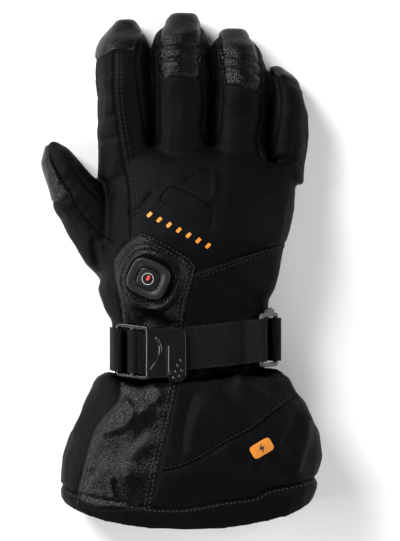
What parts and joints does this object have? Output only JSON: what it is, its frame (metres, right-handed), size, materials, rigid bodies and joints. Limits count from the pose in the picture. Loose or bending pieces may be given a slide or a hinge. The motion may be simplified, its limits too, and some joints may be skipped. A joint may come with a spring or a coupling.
{
  "type": "heated glove",
  "caption": "Padded heated winter gauntlet glove for the right hand, with leather panels, a round control pad with a button, and a buckled wrist strap.",
  "frame": {"origin": "middle of the footprint, on the surface that the glove lies on", "axes": "+Y from the hem towards the finger tips, +Z out of the back of the hand, +X from the thumb side to the little finger"},
  "size_m": [0.1634, 0.2994, 0.0661],
  "materials": {
    "softshell": "matt woven softshell",
    "leather": "pebbled, semi-gloss",
    "webbing": "woven webbing",
    "plastic": "moulded, glossy",
    "pad": "smooth, half matt"
  },
  "bodies": {
    "glove": {"buckle_loop": "webbing", "clip_loop": "webbing", "control_pad": "pad", "cuff_leather": "leather", "gauntlet": "softshell", "hand_shell": "softshell", "hem_band": "softshell", "index_cap": "leather", "index_finger": "softshell", "ladder_buckle": "plastic", "little_cap": "leather", "little_finger": "softshell", "middle_cap": "leather", "middle_finger": "softshell", "palm_leather": "leather", "ring_cap": "leather", "ring_finger": "softshell", "side_clip": "plastic", "thumb": "softshell", "thumb_patch": "leather", "wrist_strap": "webbing"},
    "button": {"power_button": "plastic"}
  },
  "joints": [
    {"name": "power_press", "type": "slide", "parent": "glove", "child": "button", "axis": [-0.1754, -0.0936, 0.98], "range_m": [-0.0008, 0], "stiffness_N_per_m": 1500}
  ]
}
